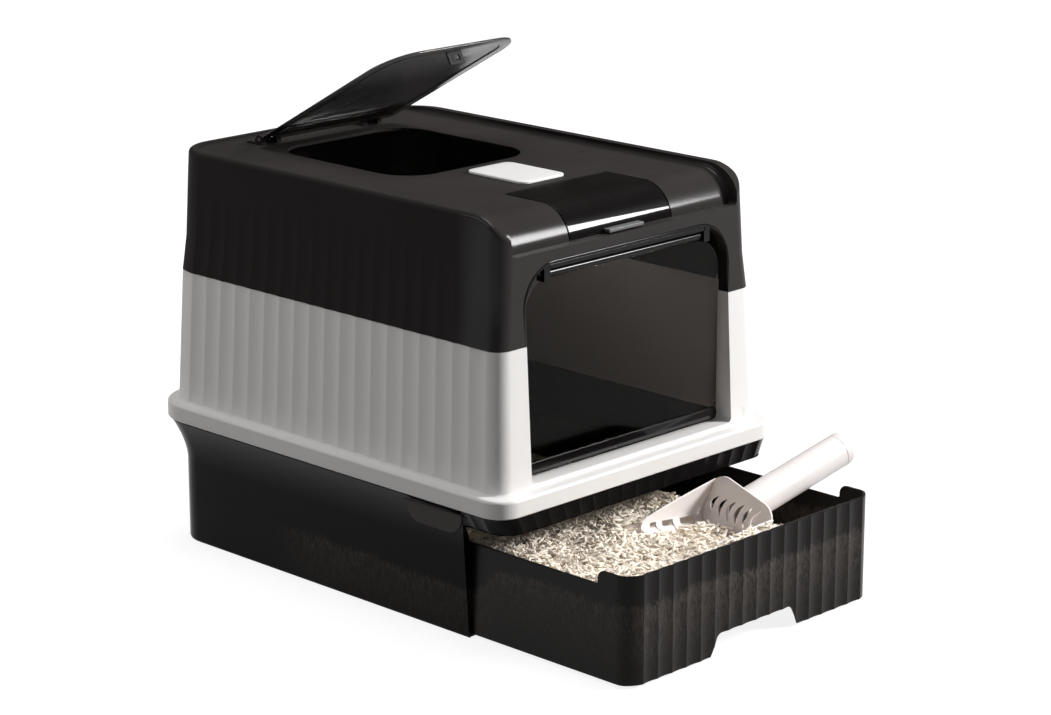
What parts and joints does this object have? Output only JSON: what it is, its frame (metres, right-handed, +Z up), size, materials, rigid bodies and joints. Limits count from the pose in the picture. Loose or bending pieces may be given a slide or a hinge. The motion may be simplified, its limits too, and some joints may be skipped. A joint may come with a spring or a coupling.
{
  "type": "drawer litter box",
  "caption": "Covered litter box with a slide-out litter tray, a swing flap in front, a hinged hatch in the top, a flip-up visor and a hand scoop.",
  "frame": {"origin": "centre of the base's underside, below the middle of the rim, on the surface it stands on", "axes": "+Z up, front and drawer towards -Y, +X to the right seen from the front"},
  "size_m": [0.428, 0.651, 0.5203],
  "materials": {
    "base_smoke": "smoked, polished moulding",
    "drawer_smoke": "smoked moulding, satin to gloss",
    "white_shell": "white moulding, soft gloss",
    "hood_black": "black moulding, soft gloss",
    "lid_smoke": "smoked translucent",
    "visor_gloss": "smoked high gloss",
    "door_smoke": "smoked transparent",
    "white_trim": "white gloss",
    "scoop_white": "warm white, soft gloss",
    "litter": "pressed plant-fibre pellets",
    "pin_steel": "drawn",
    "pad_rubber": "matt",
    "catch_grey": "satin",
    "pull_grey": "satin",
    "scent_block": "porous"
  },
  "bodies": {
    "root": {"base_shell": "base_smoke", "base_pads": "pad_rubber", "catch_pins": "pin_steel", "body_shell": "white_shell"},
    "catch_left": {"catch_left": "catch_grey"},
    "catch_right": {"catch_right": "catch_grey"},
    "drawer": {"drawer_tray": "drawer_smoke", "litter_bed": "litter"},
    "hood": {"hood_shell": "hood_black", "deodoriser_tray": "catch_grey", "deodoriser_block": "scent_block", "lid_brackets": "hood_black", "bracket_screws": "pin_steel", "latch_guide": "hood_black", "lid_pins": "pin_steel", "door_brackets": "visor_gloss"},
    "lid": {"top_lid": "lid_smoke", "lid_keeper": "lid_smoke"},
    "latch": {"latch_button": "white_trim", "latch_bolt": "white_trim"},
    "visor": {"visor_cover": "visor_gloss", "visor_pull": "pull_grey", "visor_pins": "pin_steel"},
    "door": {"door_panel": "door_smoke", "door_bar": "visor_gloss", "door_strip": "visor_gloss", "door_pins": "pin_steel"},
    "scoop": {"scoop_blade": "scoop_white", "scoop_handle": "scoop_white", "scoop_cap": "scoop_white"}
  },
  "joints": [
    {"name": "drawer_slide", "type": "slide", "parent": "root", "child": "drawer", "axis": [0, -1, 0], "range_m": [-0.16, 0]},
    {"name": "hood_lift", "type": "slide", "parent": "root", "child": "hood", "axis": [0, 0, 1], "range_m": [0, 0.15]},
    {"name": "lid_hinge", "type": "hinge", "parent": "hood", "child": "lid", "pos_m": [0, 0.2035, 0.408], "axis": [-1, 0, 0], "range_deg": [-29, 75]},
    {"name": "latch_slide", "type": "slide", "parent": "hood", "child": "latch", "axis": [0, 1, 0], "range_m": [0, 0.006]},
    {"name": "visor_hinge", "type": "hinge", "parent": "hood", "child": "visor", "pos_m": [0, -0.136, 0.4002], "axis": [-1, 0, 0], "range_deg": [0, 85]},
    {"name": "door_swing", "type": "hinge", "parent": "hood", "child": "door", "pos_m": [0, -0.225, 0.347], "axis": [-1, 0, 0], "range_deg": [-75, 75]},
    {"name": "catch_left_hinge", "type": "hinge", "parent": "root", "child": "catch_left", "pos_m": [-0.1941, -0.166, 0.126], "axis": [0, 1, 0], "range_deg": [0, 60]},
    {"name": "catch_right_hinge", "type": "hinge", "parent": "root", "child": "catch_right", "pos_m": [0.1941, -0.166, 0.126], "axis": [0, -1, 0], "range_deg": [0, 60]},
    {"name": "scoop_lift", "type": "slide", "parent": "root", "child": "scoop", "axis": [0, 0, 1], "range_m": [0, 0.176]}
  ],
  "couplings": [
    {"joint": "scoop_lift", "follows": "drawer_slide", "ratio": -1.1}
  ]
}
